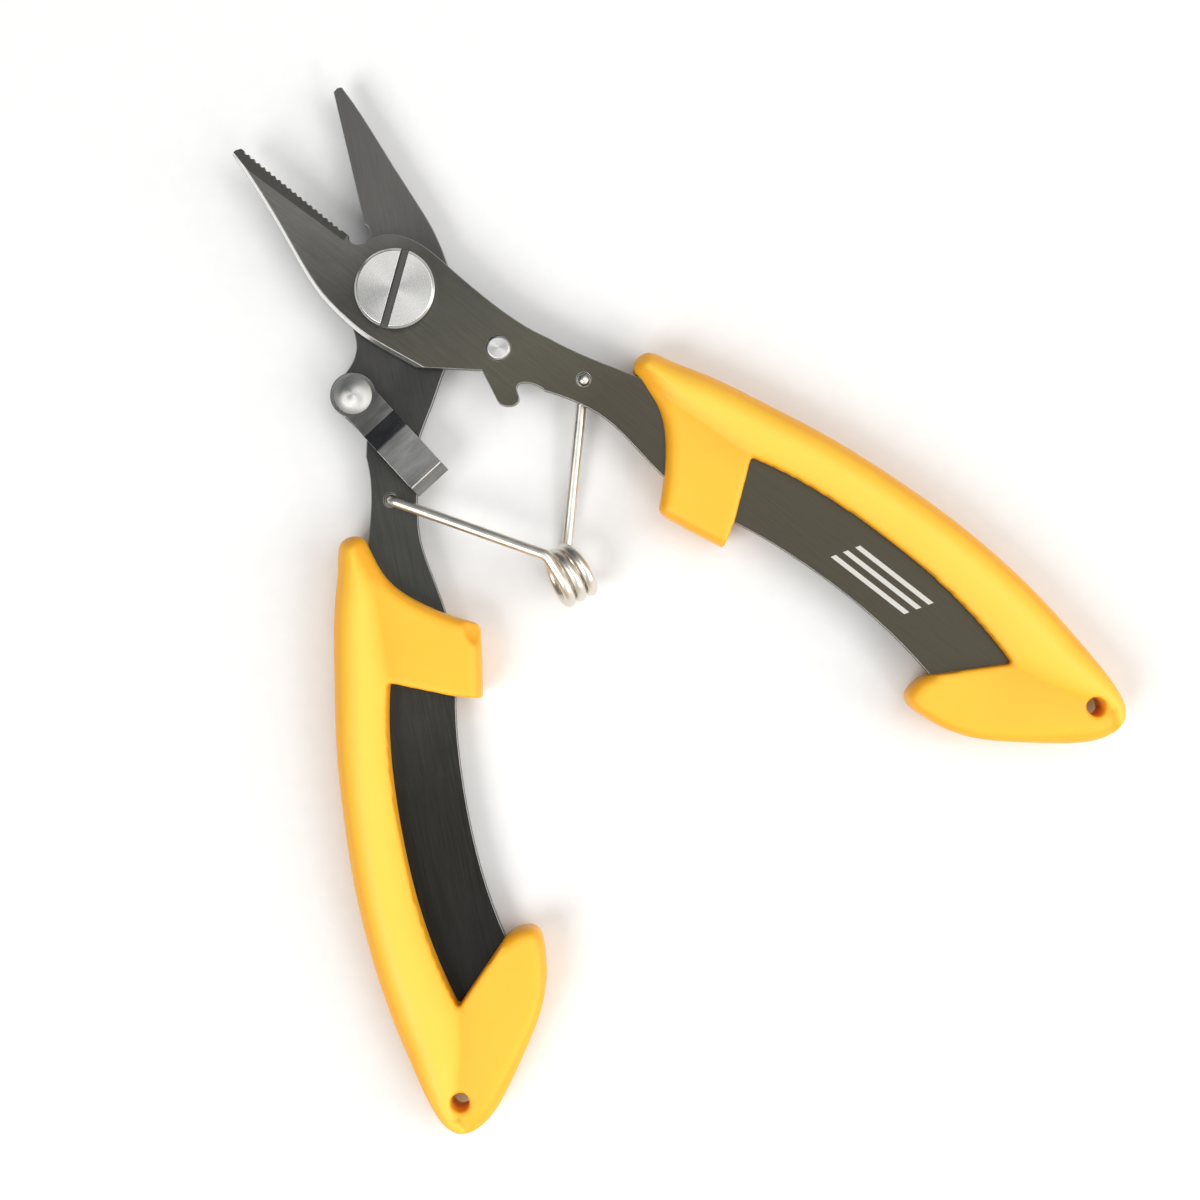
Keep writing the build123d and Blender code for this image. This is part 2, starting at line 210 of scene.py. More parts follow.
def colours(tree, value, stops):
    """A colour ramp through (place, (r, g, b)) stops."""
    ramp = tree.nodes.new("ShaderNodeValToRGB")
    elements = ramp.color_ramp.elements
    for index, (place, colour) in enumerate(stops):
        element = elements[index] if index < 2 else elements.new(place)
        element.position = place
        element.color = (*colour, 1)
    tree.links.new(value, ramp.inputs["Fac"])
    return ramp.outputs["Color"]


def tint_by(tree, shader, value, low, high):
    """Base colour that runs from one tint to another over a noise's span."""
    stops = ((NOISE_SPAN[0], low), (NOISE_SPAN[1], high))
    tree.links.new(colours(tree, value, stops), shader.inputs["Base Color"])


def roughen_by(tree, shader, value, low, high):
    """Roughness that runs from low to high over a noise's span."""
    tree.links.new(spread(tree, value, *NOISE_SPAN, low, high), shader.inputs["Roughness"])


def bump(tree, shader, height, strength, distance):
    node = tree.nodes.new("ShaderNodeBump")
    node.inputs["Strength"].default_value = strength
    node.inputs["Distance"].default_value = distance * MM
    tree.links.new(height, node.inputs["Height"])
    tree.links.new(node.outputs["Normal"], shader.inputs["Normal"])


def calculate(tree, operation, a, b=0.0):
    """The value of a math node whose inputs are sockets or numbers."""
    node = tree.nodes.new("ShaderNodeMath")
    node.operation = operation
    for socket, value in zip(node.inputs, (a, b)):
        if isinstance(value, (int, float)):
            socket.default_value = value
        else:
            tree.links.new(value, socket)
    return node.outputs["Value"]


def separated(tree, vector):
    split = tree.nodes.new("ShaderNodeSeparateXYZ")
    tree.links.new(vector, split.inputs["Vector"])
    return split.outputs["X"], split.outputs["Y"], split.outputs["Z"]


# ---------------------------------------------------------------- materials
COAT_METALLIC = 0.85
CLOUD_DRIFT = 6  # distance by which the coat's tints wander
WARM = (1.0, 0.985, 0.95)  # tint of bare steel
WIRE_WARMTH = (1.0, 0.94, 0.84)
# Colours of the coats with painted reflection and shade, lighter towards the jaws and darker towards the
# handles with dips near the pivot, each with its place along Y of the shared frame
FRONT_COAT_PAINTED_LIGHT = (
    (-60, (0.066, 0.058, 0.041)), (-27, (0.072, 0.064, 0.047)), (-14, (0.098, 0.092, 0.070)),
    (0, (0.074, 0.072, 0.063)), (9, (0.125, 0.122, 0.110)), (17, (0.165, 0.160, 0.148)),
)
REAR_COAT_PAINTED_LIGHT = (
    (-95, (0.018, 0.018, 0.017)), (-60, (0.031, 0.030, 0.026)), (-42, (0.058, 0.058, 0.051)),
    (-24, (0.072, 0.072, 0.063)), (-12, (0.048, 0.048, 0.046)), (3, (0.090, 0.087, 0.082)),
    (14, (0.122, 0.117, 0.110)),
)
# The band beside the serrations: darker than the coat and lighter towards the tip, in painted reflection
BAND_PAINTED_LIGHT = ((0, (0.085, 0.083, 0.075)), (26, (0.125, 0.121, 0.110)))
INK = (0.60, 0.59, 0.54)
STRIPES = 3
STRIPE_START = 7.6  # across the handle
STRIPE_PITCH = 1.5
STRIPE_SHARE = 0.42  # of the pitch that is inked
STRIPE_SLANT = 0.6
STRIPE_SPAN = (-76.0, -63.5)
STRIPE_FLOOR = 6.0  # height above which a face is printed, so only the front face is
VALLEY = 3.1  # half thickness of the grips where the painted shade is deepest
# Yellows by height: painted shade in the valleys, the plain yellow on the plateau, painted highlight on the
# crest
VALLEY_PAINTED_SHADE_YELLOW = (0.95, 0.43, 0.018)
PLATEAU_YELLOW = (0.975, 0.53, 0.034)
CREST_PAINTED_HIGHLIGHT_YELLOW = (1.0, 0.635, 0.075)
YELLOW_DRIFT = 0.08  # height by which the yellow's levels wander
FLOOR_SHADE = (0.86, 0.855, 0.845)
FLOOR_TINT = (0.88, 0.875, 0.865)


def dark_steel(name, turn, tints):
    """Black-coated blade steel, brushed along its arm. Its colour along Y of the shared frame carries painted
    reflection and shade.
    """
    material, tree, shader = new_material(name, COAT_METALLIC)
    _, along, _ = separated(tree, coordinates(tree))
    clouds = noise(tree, coordinates(tree), scale=0.10, detail=5.0, roughness=0.6)
    drift = spread(tree, clouds, low=0.2, high=0.8, out_low=-CLOUD_DRIFT, out_high=CLOUD_DRIFT)
    drifted = calculate(tree, "ADD", along, drift)
    first, last = tints[0][0], tints[-1][0]
    stops = [((place - first) / (last - first), tint) for place, tint in tints]
    tint = colours(tree, spread(tree, drifted, first, last), stops)
    streaks = noise(tree, coordinates(tree, (7.0, 0.16, 7.0), turn), detail=6.0, roughness=0.65)
    depth = spread(tree, streaks, low=0.25, high=0.75, out_low=0.80, out_high=1.18)
    streaked = tree.nodes.new("ShaderNodeVectorMath")
    streaked.operation = "SCALE"
    tree.links.new(tint, streaked.inputs[0])
    tree.links.new(depth, streaked.inputs["Scale"])
    tree.links.new(streaked.outputs["Vector"], shader.inputs["Base Color"])
    roughen_by(tree, shader, streaks, 0.28, 0.42)
    bump(tree, shader, streaks, strength=0.12, distance=0.02)
    return material


def print_stripes(material, turn):
    """Three plain slanted stripes printed on a coat, placed in the half's own frame."""
    tree = material.node_tree
    shader = tree.nodes["Principled BSDF"]
    across, along, up = separated(tree, coordinates(tree, turn=turn))
    place = calculate(tree, "DIVIDE", calculate(tree, "SUBTRACT", across, STRIPE_START), STRIPE_PITCH)
    slanted = calculate(tree, "ADD", along, calculate(tree, "MULTIPLY", across, STRIPE_SLANT))
    ink = calculate(tree, "LESS_THAN", calculate(tree, "FRACT", place), STRIPE_SHARE)
    for value, low, high in ((place, 0, STRIPES), (slanted, *STRIPE_SPAN)):
        ink = calculate(tree, "MULTIPLY", ink, calculate(tree, "GREATER_THAN", value, low))
        ink = calculate(tree, "MULTIPLY", ink, calculate(tree, "LESS_THAN", value, high))
    ink = calculate(tree, "MULTIPLY", ink, calculate(tree, "GREATER_THAN", up, STRIPE_FLOOR))
    coat = shader.inputs["Base Color"].links[0].from_socket
    mix = tree.nodes.new("ShaderNodeMix")
    mix.data_type = "RGBA"
    tree.links.new(ink, mix.inputs["Factor"])
    tree.links.new(coat, mix.inputs["A"])
    mix.inputs["B"].default_value = (*INK, 1)
    tree.links.new(mix.outputs["Result"], shader.inputs["Base Color"])
    metallic = spread(tree, ink, low=0, high=1, out_low=COAT_METALLIC, out_high=0)
    tree.links.new(metallic, shader.inputs["Metallic"])


def bright_steel(
    name, turn, base, roughness=0.24, along=0.3, across=8.0, low=0.8, relief=0.12, warmth=WARM
):
    """Bare ground or drawn steel with fine streaks, low being the darkest streak's share of the base."""
    material, tree, shader = new_material(name, 1.0)
    streaks = noise(tree, coordinates(tree, (across, along, across), turn), detail=5.0, roughness=0.6)
    tint = [base * share for share in warmth]
    tint_by(tree, shader, streaks, [low * part for part in tint], tint)
    roughen_by(tree, shader, streaks, roughness * 0.8, roughness * 1.25)
    bump(tree, shader, streaks, relief, distance=0.015)
    return material


def turned_steel(name, centre, base, roughness):
    """Lathe-turned stainless steel, with rings about the upright axis through centre."""
    material, tree, shader = new_material(name, 1.0)
    x, y, _ = separated(tree, coordinates(tree))
    x = calculate(tree, "SUBTRACT", x, centre[0])
    y = calculate(tree, "SUBTRACT", y, centre[1])
    squares = calculate(tree, "ADD", calculate(tree, "MULTIPLY", x, x), calculate(tree, "MULTIPLY", y, y))
    radius = tree.nodes.new("ShaderNodeCombineXYZ")
    tree.links.new(calculate(tree, "SQRT", squares), radius.inputs["X"])
    rings = noise(tree, radius.outputs["Vector"], scale=6.5, detail=3.0, roughness=0.7)
    tint = [base * share for share in WARM]
    tint_by(tree, shader, rings, [0.84 * part for part in tint], tint)
    roughen_by(tree, shader, rings, roughness * 0.8, roughness * 1.3)
    bump(tree, shader, rings, strength=0.12, distance=0.02)
    shader.inputs["Anisotropic"].default_value = 0.75
    tangent = tree.nodes.new("ShaderNodeTangent")
    tangent.direction_type = "RADIAL"
    tangent.axis = "Z"
    tree.links.new(tangent.outputs["Tangent"], shader.inputs["Tangent"])
    return material


def yellow_plastic(name):
    """Soft matte moulded plastic with a fine grain. Painted shade and highlight: deeper orange where it lies
    lower, lighter yellow on the crest.
    """
    material, tree, shader = new_material(name, 0.0)
    clouds = noise(tree, coordinates(tree), scale=0.09, detail=3.0)
    _, _, up = separated(tree, coordinates(tree))
    depth = calculate(tree, "ABSOLUTE", calculate(tree, "SUBTRACT", up, GRIP_MIDDLE))
    level = calculate(tree, "ADD", depth, spread(tree, clouds, *NOISE_SPAN, -YELLOW_DRIFT, YELLOW_DRIFT))
    share = spread(tree, level, VALLEY, CREST)
    tint = colours(tree, share, ((0.0, VALLEY_PAINTED_SHADE_YELLOW), (0.35, PLATEAU_YELLOW), (1.0, CREST_PAINTED_HIGHLIGHT_YELLOW)))
    tree.links.new(tint, shader.inputs["Base Color"])
    shader.inputs["Subsurface Weight"].default_value = 0.12
    shader.inputs["Subsurface Radius"].default_value = (1.0, 0.5, 0.12)
    shader.inputs["Subsurface Scale"].default_value = 1.2 * MM
    shader.inputs["Specular IOR Level"].default_value = 0.4
    grain = noise(tree, coordinates(tree), scale=5.0, roughness=0.6)
    roughen_by(tree, shader, grain, 0.42, 0.52)
    bump(tree, shader, grain, strength=0.10, distance=0.04)
    return material


def plain_floor():
    material, tree, shader = new_material("floor_paper", 0.0)
    shader.inputs["Roughness"].default_value = 0.75
    grain = noise(tree, coordinates(tree), scale=0.4, detail=3.0)
    tint_by(tree, shader, grain, FLOOR_SHADE, FLOOR_TINT)
    return material


# ---------------------------------------------------------------- camera, floor and light
PHOTO_ROLL = radians(31.9)  # the jaws' axis leans this far to the left of the picture's upright
VIEW_CENTRE = Vector((1.3, -49.8, 4.5)) * MM  # what the middle of the picture shows
VIEW_WIDTH = 162 * MM  # of the picture, at the blades
VIEW_DISTANCE = 300 * MM
SENSOR_WIDTH = 36
FLOOR_REACH = 2  # metres from the origin to each side
LIGHT_LEAN = (0.77, -0.64)  # the surroundings get lighter this way, right and up in the picture
SURROUNDINGS = ((0.1, (0.10, 0.11, 0.12)), (0.5, (0.36, 0.37, 0.38)), (0.9, (0.75, 0.74, 0.71)))


def picture_direction(right, up):
    """A direction in the floor plane, given as right and up in the picture."""
    x = right * cos(PHOTO_ROLL) + up * sin(PHOTO_ROLL)
    y = up * cos(PHOTO_ROLL) - right * sin(PHOTO_ROLL)
    return Vector((x, y, 0))


def make_camera():
    camera_data = bpy.data.cameras.new("camera")
    camera_data.sensor_width = SENSOR_WIDTH
    camera_data.lens = SENSOR_WIDTH * VIEW_DISTANCE / VIEW_WIDTH
    camera_data.clip_start = 0.01
    camera_data.clip_end = 20
    camera = new_object("camera", camera_data)
    camera.location = VIEW_CENTRE + Vector((0, 0, VIEW_DISTANCE))
    camera.rotation_euler = (0, 0, -PHOTO_ROLL)
    bpy.context.scene.camera = camera


def make_floor():
    height = cad_bounds[0][2]
    signs = ((-1, -1), (1, -1), (1, 1), (-1, 1))
    corners = [(x * FLOOR_REACH, y * FLOOR_REACH, height) for x, y in signs]
    floor = mesh_from("floor", corners, [(0, 1, 2, 3)])
    floor.data.materials.append(plain_floor())


def softbox(name, right, up, height, size, power):
    """An area light placed about the view's centre, facing it. Distances in metres."""
    data = bpy.data.lights.new(name, "AREA")
    data.shape = "RECTANGLE"
    data.size = size[0]
    data.size_y = size[1]
    data.energy = power
    light = new_object(name, data)
    light.location = VIEW_CENTRE + picture_direction(right, up) + Vector((0, 0, height))
    light.rotation_euler = (light.location - VIEW_CENTRE).to_track_quat("Z", "Y").to_euler()


def make_lights():
    softbox("key_softbox", right=-0.42, up=-0.36, height=0.62, size=(0.45, 0.45), power=3.6)
    softbox("side_softbox", right=0.75, up=-0.1, height=0.42, size=(0.5, 0.9), power=3.2)
    softbox("top_softbox", right=0.35, up=0.3, height=1.2, size=(0.9, 0.9), power=4.5)
    softbox("rim_softbox", right=0.55, up=-0.6, height=0.6, size=(0.3, 0.3), power=1.4)


def make_world():
    """Soft surroundings, darker on the picture's upper left."""
    world = bpy.data.worlds.new("studio")
    world.use_nodes = True
    tree = world.node_tree
    source = tree.nodes.new("ShaderNodeTexCoord")
    lean = tree.nodes.new("ShaderNodeVectorMath")
    lean.operation = "DOT_PRODUCT"
    lean.inputs[1].default_value = picture_direction(*LIGHT_LEAN)
    tree.links.new(source.outputs["Generated"], lean.inputs[0])
    glow = colours(tree, spread(tree, lean.outputs["Value"], -1, 1), SURROUNDINGS)
    background = tree.nodes["Background"]
    tree.links.new(glow, background.inputs["Color"])
    background.inputs["Strength"].default_value = 1.0
    bpy.context.scene.world = world


# ---------------------------------------------------------------- grips
CELL = 0.32  # size of the modelling grid
SMOOTHING = 3  # passes over the finished mesh
LEVEL = 0.99  # upright share of a level face's normal, at least
SAME_HEIGHT = 0.01
TINY = 1e-12
PLATEAU = 3.55  # half thickness of the collar and the tail
PLATEAU_DIP = 0.3  # how much lower the collar and the tail start beside the band
PLATEAU_REACH = 2.2  # distance over which that dip fades
SURFACE_BLEND = 0.25  # softness of the crease between the band and the plateau
BAND_FALL = 0.26  # share of the crest's height that the band has lost at its inner border
BAND_LEAST_WIDTH = 2.5
BAND_END_WIDTH = 4  # taken for the band beyond the moulding's ends
CREST_SHARE = 0.42  # of the band's width, from its outer side to its crest
FALL_LIMIT = 2.2  # the band's fall goes on to this many times its reach
BAND_EDGE = 4.1  # rounding of the outline along the band
COLLAR_EDGE = 1.7  # and along the collar
ROUNDING_END = 1.15  # share of the band's width where the band's rounding has become the collar's
ROUNDING_SPAN = 0.45
TAIL_EDGE = 2.5  # and along the tail
TAIL_START = -100  # along the handle, where the rounding starts to turn into the tail's
TAIL_BLEND = 8
WINDOW_EDGE = 0.55  # rounding of the crisp edges
# Inner border of the outer band: a valley in the collar, the window's edge, a valley in the tail
BORDER = (
    (-30, 10.4), (-38, 11.0), (-45, 11.3), (-51.5, 11.5), (-55, 12.5), (-60, 13.3), (-66, 13.9), (-72, 14.1),
    (-78, 14.0), (-84, 13.5), (-90, 12.6), (-96, 11.2), (-101, 12.0), (-106, 13.4), (-114, 15.0),
)
# Where the outline has crisp edges: spans across and along the handle, and about the lanyard hole
WINDOW = ((3.2, 14.6), (-97, -50.8))
COLLAR_END = ((-0.1, 3.4), (-56.6, -54.5))
LANYARD_PLACE = (13.5, -108.24)
LANYARD_REACH = 1.5
RELIEF_RADIUS = 3.5  # hollow in the collar's inner corner for the spring's leg
RELIEF_PLACE = (-2.9, -46.57)
RELIEF_LIFT = 0.4  # centre of the hollow beyond the grip's face


def flat_loops(node, upper):
    """Outlines of a node's highest or lowest level face, in the shared frame."""
    work = welded(node)
    height = (max if upper else min)(vertex.co.z for vertex in work.verts)
    edges = []
    for face in work.faces:
        at_height = all(abs(vertex.co.z - height) < SAME_HEIGHT * MM for vertex in face.verts)
        if at_height and abs(face.normal.z) > LEVEL:
            edges.extend(face.edges)
    border = {edge for edge in edges if edges.count(edge) == 1}
    loops = []
    while border:
        edge = border.pop()
        loop = [edge.verts[0], edge.verts[1]]
        while True:
            following = [other for other in loop[-1].link_edges if other in border]
            if not following:
                break
            border.discard(following[0])
            loop.append(following[0].other_vert(loop[-1]))
        loops.append(np.array([vertex.co / MM for vertex in loop]))
    work.free()
    return sorted(loops, key=len, reverse=True)


def distance_to(points, starts, ends):
    """Distance from each point to the nearest of the segments."""
    best = np.full(len(points), np.inf)
    for start, end in zip(starts, ends):
        along = end - start
        share = np.clip(((points - start) @ along) / max(along @ along, TINY), 0, 1)
        best = np.minimum(best, np.linalg.norm(points - start - share[:, None] * along, axis=1))
    return best


def is_inside(points, starts, ends):
    """Whether each point is inside the loops, by counting crossings."""
    crossings = np.zeros(len(points), int)
    for (x0, y0), (x1, y1) in zip(starts, ends):
        if y0 == y1:
            continue
        spans = (points[:, 1] < y0) != (points[:, 1] < y1)
        crossings += spans & (points[:, 0] < x0 + (points[:, 1] - y0) * (x1 - x0) / (y1 - y0))
    return crossings % 2 == 1


def is_crisp(places):
    """Whether each place of the outline has the window's crisp edge, not the soft moulded one."""
    across, along = places[:, 0], places[:, 1]
    crisp = np.hypot(across - LANYARD_PLACE[0], along - LANYARD_PLACE[1]) < LANYARD_REACH
    for (left, right), (low, high) in (WINDOW, COLLAR_END):
        crisp |= (across > left) & (across < right) & (along > low) & (along < high)
    return crisp


def rounded_slab(distance, height, half_thickness, radius):
    """Field of a slab with rounded edges, distance being measured inwards from its outline."""
    side = radius - distance
    face = height - (half_thickness - radius)
    outside = np.hypot(np.maximum(side, 0), np.maximum(face, 0))
    return outside + np.minimum(np.maximum(side, face), 0) - radius


def smooth_max(a, b, width):
    share = np.clip(0.5 + 0.5 * (a - b) / width, 0, 1)
    return b + (a - b) * share + width * share * (1 - share)


def grip_field(x, y, height, starts, ends):
    """Field of the moulding on a grid in the half's frame, negative inside."""
    points = np.column_stack((x.ravel(), y.ravel()))
    crisp = is_crisp((starts + ends) / 2)
    inside = is_inside(points, starts, ends)
    to_soft = distance_to(points, starts[~crisp], ends[~crisp])
    to_crisp = distance_to(points, starts[crisp], ends[crisp])
    outward = -np.minimum(to_soft, to_crisp)
    to_soft = np.where(inside, to_soft, outward).reshape(x.shape)
    to_crisp = np.where(inside, to_crisp, outward).reshape(x.shape)

    border = np.interp(-y, [-place for place, _ in BORDER], [across for _, across in BORDER])
    outer = np.where(inside.reshape(x.shape), x, -np.inf).max(axis=0, keepdims=True)
    outer = np.where(np.isfinite(outer), outer, border + BAND_END_WIDTH)
    share = (outer - x) / np.maximum(outer - border, BAND_LEAST_WIDTH)
    past_crest = np.maximum(share - CREST_SHARE, 0) / (1 - CREST_SHARE)
    band = CREST * (1 - BAND_FALL * np.minimum(past_crest, FALL_LIMIT) ** 2)
    plateau = PLATEAU - PLATEAU_DIP * np.exp(-np.maximum(border - x, 0) / PLATEAU_REACH)
    surface = smooth_max(band, plateau, SURFACE_BLEND)
    along_band = np.clip((ROUNDING_END - share) / ROUNDING_SPAN, 0, 1)
    soft_radius = COLLAR_EDGE + (BAND_EDGE - COLLAR_EDGE) * along_band
    tail = np.clip((TAIL_START - y) / TAIL_BLEND, 0, 1)
    soft_radius = soft_radius + (TAIL_EDGE - soft_radius) * tail
    soft = rounded_slab(to_soft[:, :, None], height, surface[:, :, None], soft_radius[:, :, None])
    crisp_side = rounded_slab(to_crisp[:, :, None], height, surface[:, :, None], WINDOW_EDGE)
    return np.maximum(soft, crisp_side)


def surface_net(field, origin, step):
    """Quads on the zero surface of a field, one vertex for each cell that it crosses."""
    sums = np.zeros((*field.shape, 3))
    counts = np.zeros(field.shape, int)
    quads = []
    for axis in range(3):
        low = np.take(field, range(field.shape[axis] - 1), axis)
        high = np.take(field, range(1, field.shape[axis]), axis)
        base = np.argwhere((low < 0) != (high < 0))
        a = low[tuple(base.T)]
        b = high[tuple(base.T)]
        place = base.astype(float)
        place[:, axis] += a / (a - b)
        u, v = [(1, 2), (2, 0), (0, 1)][axis]
        corners = []
        for du, dv in ((0, 0), (-1, 0), (-1, -1), (0, -1)):
            cell = base.copy()
            cell[:, u] += du
            cell[:, v] += dv
            np.add.at(sums, tuple(cell.T), place)
            np.add.at(counts, tuple(cell.T), 1)
            corners.append(cell)
        ring = np.stack(corners, axis=1)
        outward = a < 0
        ring[~outward] = ring[~outward][:, ::-1]
        quads.append(ring.reshape(-1, 3))
    used = counts > 0
    number = np.full(field.shape, -1)
    number[used] = np.arange(used.sum())
    vertices = sums[used] / counts[used][:, None] * step + origin
    quads = number[tuple(np.concatenate(quads).T)].reshape(-1, 4)
    return vertices, quads


def make_grip(node, body, side, material):
    """A soft moulding with the outline of its CAD node."""
    loops = [to_half(loop, side)[:, :2] for loop in flat_loops(node, upper=side == FRONT)]
    starts = np.concatenate([loop[:-1] for loop in loops])
    ends = np.concatenate([loop[1:] for loop in loops])
    low = starts.min(axis=0) - 2 * CELL
    high = starts.max(axis=0) + 2 * CELL
    reach = CREST + 2.5 * CELL
    x_axis = np.arange(low[0], high[0] + CELL, CELL)
    y_axis = np.arange(low[1], high[1] + CELL, CELL)
    z_axis = np.arange(-reach, reach, CELL)
    x, y = np.meshgrid(x_axis, y_axis, indexing="ij")
    z = z_axis[None, None, :]
    field = grip_field(x, y, np.abs(z), starts, ends)
    relief = (*RELIEF_PLACE, -side * (CREST + RELIEF_LIFT))
    offsets = [grid - place for grid, place in zip((x[:, :, None], y[:, :, None], z), relief)]
    field = np.maximum(field, RELIEF_RADIUS - np.sqrt(sum(offset**2 for offset in offsets)))
    origin = np.array([x_axis[0], y_axis[0], z_axis[0] + GRIP_MIDDLE])
    vertices, quads = surface_net(field, origin, CELL)
    if side == REAR:
        quads = quads[:, ::-1]  # the mirrored half's faces would point inwards
    piece = mesh_from(node + "_moulding", from_half(vertices, side) * MM, quads.tolist())
    smooth = piece.modifiers.new("smooth", "SMOOTH")
    smooth.factor = 0.5
    smooth.iterations = SMOOTHING
    piece.data.materials.append(material)
    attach(piece, body)
    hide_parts(node)


def make_grips():
    material = yellow_plastic("grip_yellow_painted_light")
    make_grip("front_grip", "front_half", FRONT, material)
    make_grip("rear_grip", "rear_half", REAR, material)


# ---------------------------------------------------------------- steel
COAT, GROUND, BAND, WORN = range(4)  # the front blade's materials, in order
BLADE_BEVEL = 0.09
SCREW_BEVEL = 0.08
GROUND_SLOPE = (0.5, 0.9)  # upward share of the normal on the ground outer edge
BAND_SLOPE = (0.9, 0.97)  # and on the band beside the serrations
TEETH_START = (0.8, 8.6)  # across and along the jaw: the serrations and the tip lie beyond both
GROUND_TURN = radians(20)  # of the grinding marks on the outer edge, from the jaw's length
SLOT_ANGLE = radians(42.6)
SLOT_REACH = 0.52  # from the slot's middle line to just past its walls
SLOT_SPAN = (0.05, 1.0)  # depths below the head's top between which the slot's faces lie
LEVER_ANGLE = radians(-79.4)  # direction of the lever from +X


def facet(normal, side):
    """Which finish a face of the serrated jaw has, from its normal."""
    across, _, up = to_half(np.array([normal], float), side)[0]
    if across < 0 and GROUND_SLOPE[0] < up < GROUND_SLOPE[1]:
        return GROUND
    if across > 0 and BAND_SLOPE[0] < up < BAND_SLOPE[1]:
        return BAND
    return COAT


def is_tooth(place):
    """Whether a point lies among the front jaw's serrations or at its tip."""
    across, along, _ = to_half(np.array([place], float), FRONT)[0]
    return across > TEETH_START[0] and along > TEETH_START[1]


def make_blades():
    worn = bright_steel("worn_edge", REST_ANGLE, base=0.34, roughness=0.35)
    # The coats' colours along the blades are painted reflection and shade
    coat = dark_steel("front_blade_coat_painted_light", REST_ANGLE, FRONT_COAT_PAINTED_LIGHT)
    print_stripes(coat, REST_ANGLE)
    ground = bright_steel("ground_edge", REST_ANGLE + GROUND_TURN, base=0.95, roughness=0.3)
    band = dark_steel("ground_band_painted_light", REST_ANGLE + pi / 2, BAND_PAINTED_LIGHT)
    front = welded("front_blade")
    for face in front.faces:
        face.material_index = facet(face.normal, FRONT)
    finish_piece(
        front, "front_blade_steel", "front_blade", "front_half", [coat, ground, band, worn],
        BLADE_BEVEL, keep_crisp=is_tooth, edge_material=WORN,
    )
    coat = dark_steel("rear_blade_coat_painted_light", -REST_ANGLE, REAR_COAT_PAINTED_LIGHT)
    finish_piece(
        welded("rear_blade"), "rear_blade_steel", "rear_blade", "rear_half", [coat, worn],
        BLADE_BEVEL, edge_material=1,
    )


def make_screw():
    """The pivot screw, with painted shade in its slot: a darker, rougher steel on the slot's walls and floor.
    """
    screw = welded("pivot_screw")
    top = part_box("pivot_screw")[1][2]
    for face in screw.faces:
        middle = face.calc_center_median()
        off_line = abs(middle.y * cos(SLOT_ANGLE) - middle.x * sin(SLOT_ANGLE)) / MM
        depth = (top - middle.z) / MM
        face.material_index = int(off_line < SLOT_REACH and SLOT_SPAN[0] < depth < SLOT_SPAN[1])
    head = turned_steel("screw_steel", (0, 0), base=0.64, roughness=0.25)
    # The darker steel in the slot is painted shade in the recess
    slot = bright_steel("screw_slot_painted_shade", SLOT_ANGLE, base=0.15, roughness=0.5, along=6.0, across=0.4)
    finish_piece(
        screw, "pivot_screw_metal", "pivot_screw", "rear_half", [head, slot], SCREW_BEVEL
    )


def node_centre(node):
    low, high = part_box(node)
    return (low + high) / 2 / MM


def make_fittings():
    """The small parts whose CAD shapes are kept, each with its finish and the width of its softened edges."""
    nut = bright_steel("nut_steel", turn=0.0, base=0.5)
    washer = bright_steel("washer_steel", turn=0.4, base=0.5)
    latch_washer = bright_steel("latch_washer_steel", turn=0.4, base=0.5)
    pin = turned_steel("pin_steel", node_centre("stop_pin"), base=0.6, roughness=0.35)
    rivet = turned_steel("rivet_steel", node_centre("latch_rivet"), base=0.66, roughness=0.52)
    # Broad light and dark bands across the lever, from a coarse noise with a dark share of 0.35, are painted
    # reflection
    lever = bright_steel(
        "lever_steel_painted_sheen", LEVER_ANGLE + pi / 2, base=0.35, along=0.22, across=0.05, low=0.35, relief=0.0
    )
    for node, body, slot, material, bevel in (
        ("pivot_nut", "rear_half", "stainless", nut, 0.2),
        ("pivot_washer", "rear_half", "stainless", washer, 0.08),
        ("stop_pin", "front_half", "stainless", pin, 0.1),
        ("latch_rivet", "rear_half", "stainless", rivet, 0.08),
        ("latch_washer", "rear_half", "stainless", latch_washer, 0.05),
        ("latch_lever", "latch", "spring_steel", lever, 0.1),
    ):
        finish_piece(welded(node), node + "_metal", node, body, [material], bevel)


# ---------------------------------------------------------------- return spring
WIRE_RADIUS = 0.75
WIRE_SIDES = 20
DOME = ((0.55, 0.84), (0.85, 0.53), (0.98, 0.2))  # a wire end's rings: shares of its height and radius
DOME_HEIGHT = 0.6  # of the wire's radius
PATH_SPACING = 0.25  # between a bend's points, and three times as much on straight runs
COIL_RADIUS = 3.35
COIL_TURNS = 2.5
COIL_PITCH = 1.7
COIL_STEPS = 72  # points in a turn
COIL_LEAD = 3.5  # straight wire from the rear kink to the first turn
COIL_HEADING = radians(-4)  # direction of the coil's axis from +X
COIL_DIP = radians(15)  # the axis falls by this angle towards +X
LEG_TURN = 0.2  # part of the coil's first and last turns that is made with the legs
FRONT_HOLE = (6.03, -27.3)
FRONT_LEG_HEIGHT = 3.74
FRONT_HOOK_END = 6.2
REAR_LEG_HEIGHT = 5.31
REAR_HOOK_END = 2.3
HOOK_RADIUS = 1.1
KINK_RADIUS = 1.6


